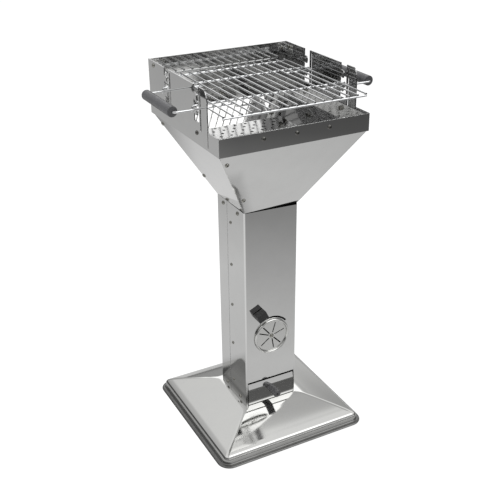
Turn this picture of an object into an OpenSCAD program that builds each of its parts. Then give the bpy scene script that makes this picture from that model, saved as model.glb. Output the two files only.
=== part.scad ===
// Free-standing pedestal charcoal barbecue of folded stainless sheet.
// The shape that takes most skill is the funnel: four equal panels in a pinwheel, each one
// lapping over its left neighbour's folded flange and carrying a flange of its own at the right.
// X runs to the right along the front, Y to the back, Z up from the ground, all in millimetres.

/* [Sheet and clearances] */
// Thickness of the box walls
wall = 3; // [2.5:0.5:3.5]
// Thickness of the folded sheet of funnel, column and inner pieces
sheet = 2; // [1.6:0.2:2.2]
// Gap between two lapped sheets
lap_gap = 0.3; // [0.2:0.1:0.4]
// Gap between pieces that rest on one another
rest_gap = 0.2; // [0.1:0.05:0.3]
// Radial gap of a turning fit
turn_gap = 0.05; // [0.03:0.01:0.08]
// Radial gap of a bolt in its hole
bolt_gap = 0.3; // [0.2:0.1:0.4]
// How far a cutting shape runs past the face it cuts
overrun = 1; // [0.5:0.5:2]

/* [Box] */
// Half width of the box over its outer faces
box_half = 190; // [186:1:194]
// Height of the front band, up to the front rim
band_high = 42; // [39:1:45]
// Height of side and rear panels
panel_high = 132; // [130:1:136]
// Distance of the tall part of a side panel from the box's front
shield_set = 54.8; // [53:0.2:56]
// Width of the relief slit at the foot of that edge
relief_width = 3; // [2:0.5:4]
// Depth of the relief slit under the rim
relief_depth = 35; // [30:1:38]
// Length of the rounded top front corner of the shield
shield_corner = 13; // [10:1:16]
// Height of the rounded top front corner of the shield
shield_corner_rise = 23; // [18:1:26]

/* [Toothed slots] */
// Front edge of the rear toothed slot
slot_front = 69; // [68:0.5:70]
// Distance of the rear toothed slot's rear edge from the box's rear
slot_set = 95; // [93:0.5:95.5]
// Distance between front and rear slot
slot_spacing = 164; // [162:1:165]
// Depth of a slot below the top of the walls
slot_deep = 81; // [79:1:83]
// Height of one step of the teeth
tooth_pitch = 32; // [31:0.5:33]
// How far a tooth stands out from the rear edge
tooth_reach = 13.5; // [13:0.5:14]
// Thickness of a tooth at its tip
tooth_height = 18; // [17:0.5:19]
// How much higher the tooth's underside is at its root than at its tip
tooth_hook = 4; // [3:0.5:5]
// Front to rear distance from the slot's rear edge to a resting bar
bar_seat = 6.5; // [6:0.5:7]

/* [Handle slits] */
// Position of the rear closed slit
slit_y = 61.5; // [61:0.5:62]
// Width of a closed slit
slit_width = 6; // [5.8:0.1:6.5]
// Distance of a closed slit's lower end from the top of the walls
slit_deep = 98; // [95:1:100]
// Distance of a closed slit's upper end from the top of the walls
slit_cap = 5; // [4:0.5:5.5]

/* [Cooking gear] */
// Diameter of bars, cross rods and handle rods
rod = 5; // [4.8:0.1:5.2]
// Diameter of the grid wires
wire = 4; // [3.5:0.1:4.2]
// Gap between two pieces that are welded at a touch
weld_gap = 0.1; // [0.05:0.05:0.15]
// Number of grid wires
wires = 17; // [15:2:19]
// Distance of the outer grid wires from the side walls, with the grid in the middle
wire_set = 10; // [9.5:0.5:12]
// How far the loose grid lies out of the middle
grid_shift = -3.5; // [-3.5:0.5:3.5]
// How far the grid wires reach past the box's front
grid_out = 6.5; // [4:0.5:8]
// Distance of the wires' rear ends from the rear wall
grid_set = 14.5; // [13:0.5:18]
// Distance of a cross rod from the wire ends
cross_inset = 2.5; // [2.2:0.1:4]
// Distance of a bar's turned-down end from the side wall
bar_out = 6; // [5:0.5:8]
// How far the end of a bar is turned down
bar_drop = 13; // [11:0.5:15]
// Bend radius at the end of a bar, on its centre line
bar_bend = 5; // [4:0.5:6]
// Distance of a grip's axis from the side wall
grip_out = 61; // [56:1:66]
// Bend radius of a handle rod, on its centre line
handle_bend = 7; // [6:0.5:8]
// Length of a handle rod's arms inside the box
arm_in = 78; // [70:1:90]
// Diameter of a grip
grip = 24; // [22:0.5:26]
// Gap at each end of a grip
grip_gap = 0.5; // [0.3:0.1:0.8]

/* [Funnel] */
// Height of the funnel, from the column's top to the walls
funnel_high = 196; // [194:1:198]
// How much higher the lower edge is at its right
foot_skew = 7; // [5:1:9]
// Width of a folded flange
flange = 18; // [17:0.5:20]
// Free length of hip below and above a flange
flange_inset = 14; // [12:1:16]
// Height of the upstand above the funnel's shoulder
upstand = 38; // [36:1:40]
// Distance of the upper hip bolt from the hip, along the panel's width
upper_bolt_in = 9.2; // [9:0.1:10]
// Height of the upper hip bolt above the lower edge
upper_bolt_rise = 171; // [169:1:173]
// Distance of the lower hip bolt from the hip, along the panel's width
lower_bolt_in = 12.5; // [12:0.1:13]
// Height of the lower hip bolt above the lower edge
lower_bolt_rise = 47; // [45:1:49]

/* [Fire grate] */
// Height of the fire grate above the funnel's lower edge
grate_rise = 142; // [138:1:146]
// Diameter of a hole in the fire grate
grate_hole = 8; // [7:0.5:9]
// Distance of the holes in a row
grate_pitch = 28.4; // [27:0.2:29]
// Distance of the rows of holes
grate_row = 21.5; // [21:0.1:22]
// Free margin at the edge of the grate
grate_margin = 10; // [8:1:12]

/* [Column] */
// Half width of the column over its outer faces
column_half = 73.5; // [73:0.5:74]
// Length of the column
column_long = 559; // [556:1:562]
// Outer bend radius of the column's edges
column_round = 4; // [3:0.5:4.5]
// Where the rear channel meets the front channel
seam_y = 18; // [16:1:20]
// Width of the groove between the two channels
seam_gap = 1.6; // [1:0.2:2]
// How far the lip of the rear channel runs under the front channel
lip = 28; // [26:1:30]
// Distance of the lip's lower end from the column's foot
lip_rise = 33; // [32.5:0.5:35]
// Distance of the lip's upper end from the column's top
lip_drop = 38; // [36:1:42]
// Height of the lowest seam screw above the column's foot
seam_rise = 42; // [41.5:0.5:44]
// Distance of the highest seam screw from the column's top
seam_drop = 51.8; // [51:0.1:54]
// Number of seam screws at one side
seam_count = 5; // [4:1:5]
// Front to rear distance of the bolts at top and foot from the middle
end_bolt_y = 38.5; // [37:0.5:40]
// Distance of the upper bolts from the column's top
neck_bolt_drop = 13; // [12:1:15]
// Height of the lower bolts above the column's foot
foot_bolt_rise = 11; // [10.5:0.5:11.5]
// How far the collar reaches down into the column
collar_deep = 34; // [32:1:35]
// How far the collar's tabs reach up under the funnel panels
tab_length = 45; // [40:1:48]
// Half width of a collar tab
tab_half = 45; // [40:1:46]
// Height of the spigot in the column's foot
spigot_high = 31; // [29:0.5:32]
// Width of the spigot's inner flange
spigot_flange = 24; // [22:1:26]
// Distance of the hold-down bolts from the column's outer faces
hold_set = 16.5; // [16:0.5:17]

/* [Vent] */
// Sideways place of the vent's pivot
vent_x = 1; // [0:0.5:2]
// Height of the vent's pivot above the column's foot
vent_rise = 199; // [197:1:201]
// Radius of the vent disc over its rolled rim
vent_r = 49.5; // [48.5:0.5:50]
// Radius of the rolled rim's section
vent_rim = 3; // [2.6:0.1:3.2]
// Thickness of the disc
vent_sheet = 1.5; // [1.2:0.1:1.8]
// Gap between disc and column
vent_gap = 0.3; // [0.2:0.1:0.5]
// Inner end of a vent slot
vent_slot_in = 9; // [8.5:0.5:11]
// Outer end of a vent slot
vent_slot_out = 38.5; // [37:0.5:39]
// Width of a vent slot
vent_slot = 3; // [2.5:0.1:3.5]
// Radius of the pivot rivet's shank
rivet_r = 3; // [2.5:0.1:3.5]
// Radius of the pivot rivet's heads
rivet_head = 6; // [5.5:0.1:6.5]
// Height of a rivet head
rivet_rise = 2.6; // [2:0.1:3]
// Direction of the vent's arm, from the right upwards
arm_turn = 115.5; // [114:0.5:117]
// Radius of the stop pin's path
stop_r = 54.25; // [54:0.25:55]
// Radius of the stop pin
pin_r = 2; // [1.8:0.1:2.1]
// Width of the stop slot
stop_slot = 4.6; // [4.5:0.1:5]
// Turn from the closed to the open end of the stop slot
stop_turn = 74; // [72:1:75]
// Turn that the slot is longer than the pin's path at each end
stop_play = 2.6; // [2.4:0.1:3]
// Width of the arm
arm_width = 20; // [18:0.5:22]
// Radius of the inner face of the grip block
block_in = 71; // [70:0.5:72]
// Radial size of the grip block
block_long = 21; // [20:0.5:22]
// Width of the grip block
block_wide = 28; // [27:0.5:29]
// Depth of the grip block off the arm
block_deep = 19.5; // [18:0.5:20]

/* [Ash drawer] */
// Distance of the drawer's front from the column's edge
drawer_set = 6; // [5.8:0.1:6.4]
// Gap beside the drawer's front
drawer_side_gap = 1.5; // [1.2:0.1:1.7]
// Gap under the drawer's front
drawer_rise = 1.5; // [1:0.5:2]
// Height of the drawer's front
front_high = 65; // [63:0.5:66]
// Gap above the drawer's front
drawer_slit = 4; // [3:0.5:4.5]
// Height of the leaning strip at the top of the front
drawer_strip = 18; // [16:1:20]
// How far that strip leans back
drawer_lean = 3.2; // [2:0.2:4]
// How far the front stands before the column
drawer_proud = 1; // [0.5:0.5:1.5]
// Distance of the tray's side from the spigot's inner face
tray_set = 3; // [2.8:0.1:3.8]
// Gap between the tray and its runners
tray_play = 0.3; // [0.2:0.1:0.6]
// Height of the tray
tray_high = 26.7; // [24:0.1:27]
// Distance of the tray's rear end from the spigot's inner face
tray_stop = 7.3; // [6:0.1:9]
// Width of a runner's shelf
shelf = 12; // [10:0.5:14]
// Height of the upper face of a runner's shelf above the column's foot
shelf_rise = 21; // [20.5:0.5:21]
// Height of a runner's upright leg
shelf_leg = 10; // [8:0.5:10]
// Radius of the knob
knob_r = 10; // [9:0.5:11]
// Height of the knob's axis above the column's foot
knob_rise = 36.5; // [35.5:0.5:37]
// Length of the knob
knob_long = 35.5; // [34:0.5:37]
// Radius of the hole in the knob's free end
knob_hole = 2.5; // [2:0.1:3]
// Depth of that hole
knob_hole_deep = 10; // [8:1:12]
// Radius of the knob's screw
knob_screw_r = 2.5; // [2.3:0.1:2.7]
// How deep the screw goes into the knob
knob_screw_deep = 12; // [10:1:14]

/* [Base] */
// Half width of the base's flat top
plateau_half = 77; // [76:0.5:79]
// Half width of the base over its rolled edge
edge_half = 212; // [208:1:216]
// Height of the base
base_high = 63; // [61:0.5:65]
// Corner radius of the rolled edge
edge_round = 34.2; // [32:0.2:36]
// Thickness of the pressed base
base_sheet = 2; // [1.6:0.2:2.4]

/* [Bolts] */
// Radius of a bolt's shank
bolt_r = 3; // [2.8:0.1:3.1]
// Radius of a bolt's button head
bolt_head = 5.2; // [5:0.1:5.6]
// Height of a bolt's button head
bolt_rise = 3; // [2.7:0.1:3.2]
// Radius of a seam screw's head
screw_head = 4.2; // [4:0.1:4.6]
// Width of a nut across its flats
nut_flats = 10; // [9.5:0.5:10]
// Height of a nut
nut_high = 5; // [4.6:0.1:5.2]
// How far a bolt's end shows past its nut
bolt_end = 1; // [0.5:0.5:1.5]
// Half distance of the outer bolts of front and rear wall
wall_bolt = 83; // [81:1:85]
// Half distance of the bolts of a side wall
side_bolt = 81; // [79:1:83]
// Height of the bolts above the lower edge of the walls
wall_bolt_rise = 26; // [24:1:28]
// Distance of the rear panel's corner rivets from the inner corner
rear_corner_in = 12.5; // [12:0.5:13]
// Distance of the rear panel's corner rivets from the top of the walls
rear_corner_drop = 16; // [15:0.5:17]
// Distance of a side panel's corner rivet from the inner corner
side_corner_in = 29; // [28.5:0.5:30]
// Distance of a side panel's corner rivet from the top of the walls
side_corner_drop = 10; // [9:0.5:11]
// Height of the flat inner end of a corner rivet
rivet_foot = 1.8; // [1.4:0.1:1.9]
// Height of a corner clip
clip_high = 20; // [19:0.5:21]
// Distance of a corner clip from the top of the walls
clip_drop = 3; // [2:0.5:3.5]
// Leg of a corner clip along the rear panel
clip_rear_leg = 22; // [21:0.5:23]
// Leg of a corner clip along a side panel
clip_side_leg = 40; // [38:1:42]

/* [Colours] */
// Bright stainless sheet
steel = [0.72, 0.72, 0.71];
// Chromed wire
bright = [0.80, 0.80, 0.80];
// Black moulding
black = [0.12, 0.12, 0.12];
// Dark graphite metal
graphite = [0.30, 0.30, 0.31];

/* [Node] */
// Which sub-part is shown

/* [Hidden] */

// Directions of the vent slots, from the right upwards, as they stand with the vent open
vent_slot_shares = [17, 73, 129, 157, 216, 279, 313];

// Shares of the base's rings, from its flat top to the rolled edge: way from the flat top out to
// the edge, height, corner radius, how far the inner skin lies inward and how far down
base_shares = [[0, 1, 0.205, 0.2, 1], [0.044, 0.987, 0.21, 0.3, 1], [0.244, 0.865, 0.215, 0.3, 0.95],
    [0.467, 0.708, 0.22, 0.35, 0.95], [0.674, 0.549, 0.225, 0.4, 0.95], [0.807, 0.435, 0.23, 0.55, 0.95],
    [0.87, 0.363, 0.25, 0.75, 0.8], [0.9, 0.295, 0.32, 0.95, 0.5], [0.911, 0.19, 0.5, 1.05, 0.1],
    [0.917, 0.13, 0.6, 1.1, 0.8], [0.936, 0.092, 0.72, 1.2, 1.05], [0.967, 0.086, 0.88, 1.8, 1.4]];
// The same for the rolled edge, whose inner skin is the last row
edge_shares = [[0.991, 0.067, 0.971], [1, 0.035, 1], [0.994, 0.011, 0.982], [0.982, 0, 0.936],
    [0.965, 0, 0.87]];
ring_corner_steps = 8;

base_rings = concat(
    [for (s = base_shares) [plateau_half + s[0] * (edge_half - plateau_half), s[1] * base_high,
        s[2] * edge_round]],
    [for (s = edge_shares) [plateau_half + s[0] * (edge_half - plateau_half), s[1] * base_high,
        s[2] * edge_round]]);
shares_last = len(base_shares) - 1;
base_inner_rings = [for (i = [0:shares_last]) let (s = base_shares[shares_last - i])
    [plateau_half + s[0] * (edge_half - plateau_half) - s[3] * base_sheet,
        s[1] * base_high - s[4] * base_sheet, s[2] * edge_round - s[3] * base_sheet]];

column_foot_z = base_high;
funnel_foot = column_foot_z + column_long;
wall_foot = funnel_foot + funnel_high;
rim = wall_foot + band_high;
box_top = wall_foot + panel_high;
wall_inner = box_half - wall;
shield_front = shield_set - box_half;
slot_rear = box_half - slot_set;
slot_floor = box_top - slot_deep;
slit_low = box_top - slit_deep;
slit_high = box_top - slit_cap;
rear_corner_z = box_top - rear_corner_drop;
side_corner_z = box_top - side_corner_drop;
clip_top = box_top - clip_drop;
shoulder_half = wall_inner - rest_gap;
funnel_top = wall_foot - lap_gap;
funnel_rise = funnel_top - funnel_foot;
funnel_run = shoulder_half - column_half;
lean = atan2(funnel_run, funnel_rise);
slant = sqrt(funnel_run * funnel_run + funnel_rise * funnel_rise);
hip_turn = atan2(funnel_run, slant);
hip_long = sqrt(funnel_run * funnel_run + slant * slant);
// Angle between two neighbouring panels, measured inside the funnel
hip_inside = 180 - acos(sin(lean) * sin(lean));
lap_depth = sheet + lap_gap;
grate_z = funnel_foot + grate_rise;
panel_trim = lap_depth / sin(hip_inside) / cos(hip_turn);
flange_start = lap_depth * cos(hip_inside) / sin(hip_inside);
upstand_inner = shoulder_half - sheet;

bar_y = slot_rear - bar_seat;
tooth_top = slot_floor + tooth_pitch;
bar_z = tooth_top + rest_gap + rod / 2;
wire_z = bar_z + rod / 2 + lap_gap + wire / 2;
cross_z = wire_z - wire / 2 - rod / 2 - weld_gap;
slit_front_y = slit_y - slot_spacing;
grid_half = wall_inner - wire_set;
wire_pitch = 2 * grid_half / (wires - 1);
grid_front = -box_half - grid_out;
grid_rear = wall_inner - grid_set;
grip_x = box_half + grip_out;
bar_end = box_half + bar_out;
arm_inner = wall_inner - arm_in;

wall_bolt_z = wall_foot + wall_bolt_rise;
wall_bolt_xs = [-wall_bolt, 0, wall_bolt];
side_bolt_ys = [-side_bolt, side_bolt];
lapped_walls = wall + rest_gap + sheet;
column_inner = column_half - sheet;
spigot_half = column_inner - rest_gap;
spigot_inner = spigot_half - sheet;
lapped_column = sheet + rest_gap + sheet;
grate_half = column_half + funnel_run * (grate_z - funnel_foot) / funnel_rise
    - (2 * sheet + lap_gap) / cos(lean) - rest_gap;
shelf_outer = spigot_inner - rest_gap;
lip_low = column_foot_z + lip_rise;
lip_high = funnel_foot - lip_drop;
seam_low = column_foot_z + seam_rise;
seam_pitch = (column_long - seam_rise - seam_drop) / (seam_count - 1);
hold_bolt = column_half - hold_set;
neck_bolt_z = funnel_foot - neck_bolt_drop;
foot_bolt_z = column_foot_z + foot_bolt_rise;
collar_low = funnel_foot - collar_deep;
spigot_top = column_foot_z + spigot_high;
vent_z = column_foot_z + vent_rise;
drawer_half = column_half - drawer_set;
drawer_low = column_foot_z + drawer_rise;
drawer_high = drawer_low + front_high;
tray_half = spigot_inner - tray_set;
shelf_z = column_foot_z + shelf_rise;
tray_low = shelf_z + tray_play;
tray_rear = spigot_inner - tray_stop;
knob_z = column_foot_z + knob_rise;
drawer_face = -column_half - drawer_proud;

module button_bolt(through, head = bolt_head) {
    rise = bolt_rise * head / bolt_head;
    rotate_extrude($fn = 32)
        polygon([[0, -through], [bolt_r * 0.8, -through], [bolt_r, -through + bolt_r * 0.2], [bolt_r, 0],
            [head, 0], [head * 0.98, rise * 0.3], [head * 0.84, rise * 0.7], [head * 0.6, rise * 0.94],
            [head * 0.4, rise], [head * 0.4, rise * 0.5], [0, rise * 0.35]]);
}

// A rivet with a domed head outside and a low flat end on the far side of the lapped sheets
module corner_rivet(through) {
    rotate_extrude($fn = 32)
        polygon([[0, -through - rivet_foot], [bolt_head * 0.7, -through - rivet_foot],
            [bolt_head * 0.9, -through], [bolt_r, -through], [bolt_r, 0], [bolt_head, 0],
            [bolt_head * 0.94, bolt_rise * 0.4], [bolt_head * 0.7, bolt_rise * 0.8], [0, bolt_rise]]);
}

module nut(depth) {
    translate([0, 0, -depth - nut_high]) difference() {
        cylinder(r = nut_flats / 2 / cos(30), h = nut_high, $fn = 6);
        translate([0, 0, -overrun]) cylinder(r = bolt_r + turn_gap, h = nut_high + 2 * overrun, $fn = 32);
    }
}

module bolt_hole(depth) {
    translate([0, 0, -depth]) cylinder(r = bolt_r + bolt_gap, h = 2 * depth, $fn = 32);
}

// Stands a child on the outer face of the wall at one of the four sides, its own Z pointing out
module on_side(side, half, along, height) {
    rotate([0, 0, 90 * side]) translate([along, -half, height]) rotate([90, 0, 0]) children();
}

module rounded_square(half, round) {
    square([2 * half, 2 * (half - round)], center = true);
    square([2 * (half - round), 2 * half], center = true);
    for (sx = [-1, 1], sy = [-1, 1])
        translate([sx * (half - round), sy * (half - round)]) circle(r = round, $fn = 32);
}

module square_tube_outline(half, thick, round) {
    difference() {
        rounded_square(half, round);
        rounded_square(half - thick, round - thick);
    }
}

// Base

function ring_point(half, round, corner, step) =
    [(corner == 0 || corner == 3 ? 1 : -1) * (half - round)
        + round * cos(90 * corner + 90 * step / ring_corner_steps),
     (corner < 2 ? 1 : -1) * (half - round)
        + round * sin(90 * corner + 90 * step / ring_corner_steps)];

module base_pan() {
    rings = concat(base_rings, base_inner_rings);
    side_points = 4 * (ring_corner_steps + 1);
    points = [for (r = rings) for (corner = [0:3]) for (step = [0:ring_corner_steps])
        concat(ring_point(r[0], r[2], corner, step), [r[1]])];
    last = len(rings) - 1;
    skin = [for (i = [0:last - 1]) for (j = [0:side_points - 1]) for (half_face = [0, 1])
        let (a = i * side_points + j, b = i * side_points + (j + 1) % side_points)
        half_face == 0 ? [a, b, b + side_points] : [a, b + side_points, a + side_points]];
    top_cap = [[for (j = [0:side_points - 1]) side_points - 1 - j]];
    inner_cap = [[for (j = [0:side_points - 1]) last * side_points + j]];
    color(steel) difference() {
        polyhedron(points = points, faces = concat(skin, top_cap, inner_cap), convexity = 6);
        for (sx = [-1, 1], sy = [-1, 1])
            translate([sx * hold_bolt, sy * hold_bolt, column_foot_z]) bolt_hole(4 * base_sheet);
    }
}

module column_foot() {
    color(steel) difference() {
        union() {
            translate([0, 0, column_foot_z])
                linear_extrude(spigot_top - column_foot_z)
                    square_tube_outline(spigot_half, sheet, column_round);
            translate([0, 0, column_foot_z]) linear_extrude(sheet) difference() {
                rounded_square(spigot_half, column_round);
                square(2 * (spigot_inner - spigot_flange), center = true);
            }
        }
        translate([-drawer_half, -column_half - overrun, column_foot_z - overrun])
            cube([2 * drawer_half, column_half, spigot_top]);
        for (sx = [-1, 1]) for (sy = [-1, 1])
            translate([sx * hold_bolt, sy * hold_bolt, column_foot_z]) bolt_hole(2 * sheet + overrun);
        for (side = [1, 3]) for (sy = [-1, 1])
            on_side(side, column_half, sy * end_bolt_y, foot_bolt_z) bolt_hole(lapped_column + overrun);
    }
}

module at_hold_bolts() {
    for (sx = [-1, 1], sy = [-1, 1])
        translate([sx * hold_bolt, sy * hold_bolt, column_foot_z + sheet]) children();
}

module hold_bolts() { color(steel) at_hold_bolts() button_bolt(sheet + base_sheet + nut_high + bolt_end); }
module hold_nuts() { color(steel) at_hold_bolts() nut(sheet + base_sheet); }

module at_end_bolts(height) {
    for (side = [1, 3]) for (sy = [-1, 1])
        on_side(side, column_half, sy * end_bolt_y, height) children();
}

module foot_bolts() {
    color(steel) at_end_bolts(foot_bolt_z) button_bolt(lapped_column + nut_high + bolt_end);
}
module foot_nuts() { color(steel) at_end_bolts(foot_bolt_z) nut(lapped_column); }
module collar_bolts() {
    color(steel) at_end_bolts(neck_bolt_z) button_bolt(lapped_column + nut_high + bolt_end);
}
module collar_nuts() { color(steel) at_end_bolts(neck_bolt_z) nut(lapped_column); }

// Column

module at_seam_screws() {
    for (side = [1, 3]) for (i = [0:seam_count - 1])
        on_side(side, column_half, 0, seam_low + i * seam_pitch) children();
}

module seam_screws() { color(steel) at_seam_screws() button_bolt(lapped_column + 2 * bolt_end, screw_head); }

// Stands a child on the column's front at the vent's pivot, its own Z pointing out
module at_vent() {
    translate([vent_x, -column_half, vent_z]) rotate([90, 0, 0]) children();
}

module ray_slot(inner, outer, width, depth) {
    translate([inner, -width / 2, -depth]) cube([outer - inner, width, 2 * depth]);
}

module column_front_channel() {
    color(steel) difference() {
        translate([0, 0, column_foot_z]) linear_extrude(funnel_foot - column_foot_z) intersection() {
            square_tube_outline(column_half, sheet, column_round);
            translate([-column_half - overrun, -column_half - overrun])
                square([2 * (column_half + overrun), column_half + overrun + seam_y]);
        }
        translate([-drawer_half - drawer_side_gap, -column_half - overrun, column_foot_z - overrun])
            cube([2 * (drawer_half + drawer_side_gap), sheet + 2 * overrun,
                drawer_high + drawer_slit - column_foot_z + overrun]);
        at_seam_screws() bolt_hole(sheet + overrun);
        at_end_bolts(foot_bolt_z) bolt_hole(sheet + overrun);
        at_end_bolts(neck_bolt_z) bolt_hole(sheet + overrun);
        at_vent() {
            for (turn = vent_slot_shares) rotate(turn)
                ray_slot(vent_slot_in, vent_slot_out, vent_slot, sheet + overrun);
            translate([0, 0, -sheet - overrun])
                cylinder(r = rivet_r + turn_gap, h = 2 * sheet + 2 * overrun, $fn = 32);
            rotate(arm_turn - stop_turn - stop_play) arc_slot(stop_turn + 2 * stop_play);
        }
    }
}

// A slot along the stop pin's path, from its own X axis through the given turn
module arc_slot(turn) {
    translate([0, 0, -sheet - overrun]) rotate_extrude(angle = turn, $fn = 96)
        translate([stop_r - stop_slot / 2, 0]) square([stop_slot, 2 * sheet + 2 * overrun]);
}

module column_rear_channel() {
    rear_start = seam_y + seam_gap;
    color(steel) difference() {
        union() {
            translate([0, 0, column_foot_z]) linear_extrude(funnel_foot - column_foot_z) intersection() {
                square_tube_outline(column_half, sheet, column_round);
                translate([-column_half - overrun, rear_start])
                    square([2 * (column_half + overrun), column_half + overrun]);
            }
            for (sx = [-1, 1]) translate([0, 0, lip_low]) linear_extrude(lip_high - lip_low)
                scale([sx, 1]) {
                    translate([spigot_inner, seam_y - lip]) square([sheet, lip + seam_gap + sheet]);
                    translate([spigot_inner, rear_start]) square([column_half - spigot_inner, sheet]);
                }
        }
        at_seam_screws() bolt_hole(lapped_column + overrun);
        at_end_bolts(foot_bolt_z) bolt_hole(sheet + overrun);
        at_end_bolts(neck_bolt_z) bolt_hole(sheet + overrun);
    }
}

module neck_collar() {
    color(steel) difference() {
        union() {
            translate([0, 0, collar_low]) linear_extrude(funnel_foot + sheet / 2 - collar_low)
                square_tube_outline(spigot_half, sheet, column_round);
            for (side = [0:3]) in_panel(side) translate([-tab_half, -sheet, -lap_depth - sheet])
                cube([2 * tab_half, tab_length, sheet]);
        }
        at_end_bolts(neck_bolt_z) bolt_hole(lapped_column + overrun);
    }
}

// Funnel

// Puts a child in the plane of one funnel panel: X along its lower edge, Y up its slope, Z outwards
module in_panel(side) {
    rotate([0, 0, 90 * side]) translate([0, -column_half, funnel_foot]) rotate([90 + lean, 0, 0]) children();
}

module at_hip_bolts(side) {
    in_panel(side) for (b = [[upper_bolt_in, upper_bolt_rise], [lower_bolt_in, lower_bolt_rise]]) {
        up = b[1] / cos(lean);
        translate([b[0] - column_half - up * tan(hip_turn), up, 0]) children();
    }
}

module funnel_panel(side) {
    ends = shoulder_half - panel_trim - lap_gap;
    color(steel) difference() {
        union() {
            in_panel(side) translate([0, 0, -sheet]) linear_extrude(sheet)
                polygon([[-column_half, 0], [column_half + foot_skew * tan(hip_turn) - panel_trim, foot_skew],
                    [shoulder_half - panel_trim, slant], [-shoulder_half, slant]]);
            rotate([0, 0, 90 * side]) translate([-shoulder_half, -shoulder_half, funnel_top])
                cube([shoulder_half + ends, sheet, upstand]);
            in_panel(side + 1) translate([-column_half, 0, -lap_depth - sheet]) rotate(hip_turn)
                translate([flange_start, flange_inset, 0])
                    cube([flange - flange_start, hip_long - 2 * flange_inset, sheet]);
        }
        at_hip_bolts(side) bolt_hole(sheet + overrun);
        at_hip_bolts(side + 1) bolt_hole(lap_depth + sheet + overrun);
        at_wall_bolts() bolt_hole(lapped_walls + overrun);
    }
}

module funnel_front() { funnel_panel(0); }
module funnel_right() { funnel_panel(1); }
module funnel_rear() { funnel_panel(2); }
module funnel_left() { funnel_panel(3); }

module funnel_bolts() {
    color(steel) for (side = [0:3]) at_hip_bolts(side) button_bolt(lap_depth + sheet + nut_high + bolt_end);
}
module funnel_nuts() { color(steel) for (side = [0:3]) at_hip_bolts(side) nut(lap_depth + sheet); }

// Fire grate

module fire_grate() {
    rows = floor((grate_half - grate_margin) / grate_row + 0.5);
    color(steel) difference() {
        translate([0, 0, grate_z]) linear_extrude(sheet) rounded_square(grate_half, column_round);
        for (i = [0:2 * rows - 1]) {
            shift = i % 2 == 0 ? 0 : grate_pitch / 2;
            across = floor((grate_half - grate_margin - shift) / grate_pitch);
            for (k = [-across - (i % 2):across])
                translate([k * grate_pitch + shift, (i - rows + 0.5) * grate_row, grate_z - overrun])
                    cylinder(r = grate_hole / 2, h = sheet + 2 * overrun, $fn = 24);
        }
    }
}

// Box

module at_wall_bolts() {
    for (side = [0, 2]) for (x = wall_bolt_xs) on_side(side, box_half, x, wall_bolt_z) children();
    for (side = [1, 3]) for (y = side_bolt_ys) on_side(side, box_half, y, wall_bolt_z) children();
}

module band_bolts() { color(steel) at_wall_bolts() button_bolt(lapped_walls + nut_high + bolt_end); }
module band_nuts() { color(steel) at_wall_bolts() nut(lapped_walls); }

module front_band() {
    color(steel) difference() {
        translate([-box_half, -box_half, wall_foot]) cube([2 * box_half, wall, rim - wall_foot]);
        at_wall_bolts() bolt_hole(wall + overrun);
    }
}

module at_corner_rivets_rear() {
    for (sx = [-1, 1]) on_side(2, box_half, sx * (wall_inner - rear_corner_in), rear_corner_z) children();
}
module at_corner_rivets_side() {
    on_side(1, box_half, wall_inner - side_corner_in, side_corner_z) children();
    on_side(3, box_half, side_corner_in - wall_inner, side_corner_z) children();
}

module rear_panel() {
    color(steel) difference() {
        translate([-shoulder_half, wall_inner, wall_foot])
            cube([2 * shoulder_half, wall, box_top - wall_foot]);
        at_wall_bolts() bolt_hole(wall + overrun);
        at_corner_rivets_rear() bolt_hole(wall + overrun);
    }
}

// Outline of one open slot with its teeth left standing, in front-to-back and upward coordinates
module toothed_slot() {
    difference() {
        translate([slot_front, slot_floor]) square([slot_rear - slot_front, box_top + overrun - slot_floor]);
        for (i = [1, 2]) translate([slot_rear + overrun, slot_floor + i * tooth_pitch]) polygon([
            [0, 0], [-overrun - tooth_reach * 0.7, 0], [-overrun - tooth_reach * 0.9, -tooth_height * 0.1],
            [-overrun - tooth_reach, -tooth_height * 0.28], [-overrun - tooth_reach, -tooth_height * 0.72],
            [-overrun - tooth_reach * 0.93, -tooth_height * 0.92],
            [-overrun - tooth_reach * 0.8, -tooth_height],
            [-overrun - tooth_reach * 0.6, -tooth_height * 0.96],
            [-overrun, tooth_hook - tooth_height], [0, tooth_hook - tooth_height]]);
    }
}

module handle_slit() {
    translate([slit_y - slit_width / 2, slit_low + slit_width / 2])
        square([slit_width, slit_high - slit_low - slit_width]);
    for (z = [slit_low + slit_width / 2, slit_high - slit_width / 2])
        translate([slit_y, z]) circle(d = slit_width, $fn = 32);
}

module side_panel() {
    front = -shoulder_half;
    difference() {
        translate([wall_inner, 0, 0]) rotate([90, 0, 90]) linear_extrude(wall) difference() {
            polygon([[front, wall_foot], [box_half, wall_foot], [box_half, box_top],
                [shield_front + shield_corner, box_top],
                [shield_front + shield_corner * 0.6, box_top - shield_corner_rise * 0.11],
                [shield_front + shield_corner * 0.28, box_top - shield_corner_rise * 0.36],
                [shield_front + shield_corner * 0.08, box_top - shield_corner_rise * 0.68],
                [shield_front, box_top - shield_corner_rise], [shield_front, rim - relief_depth],
                [shield_front - relief_width, rim - relief_depth], [shield_front - relief_width, rim],
                [front, rim]]);
            toothed_slot();
            translate([-slot_spacing, 0]) toothed_slot();
            handle_slit();
            translate([-slot_spacing, 0]) handle_slit();
        }
        at_wall_bolts() bolt_hole(wall + overrun);
        at_corner_rivets_side() bolt_hole(wall + overrun);
    }
}

module side_panel_right() { color(steel) side_panel(); }
module side_panel_left() { color(steel) mirror([1, 0, 0]) side_panel(); }

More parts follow.
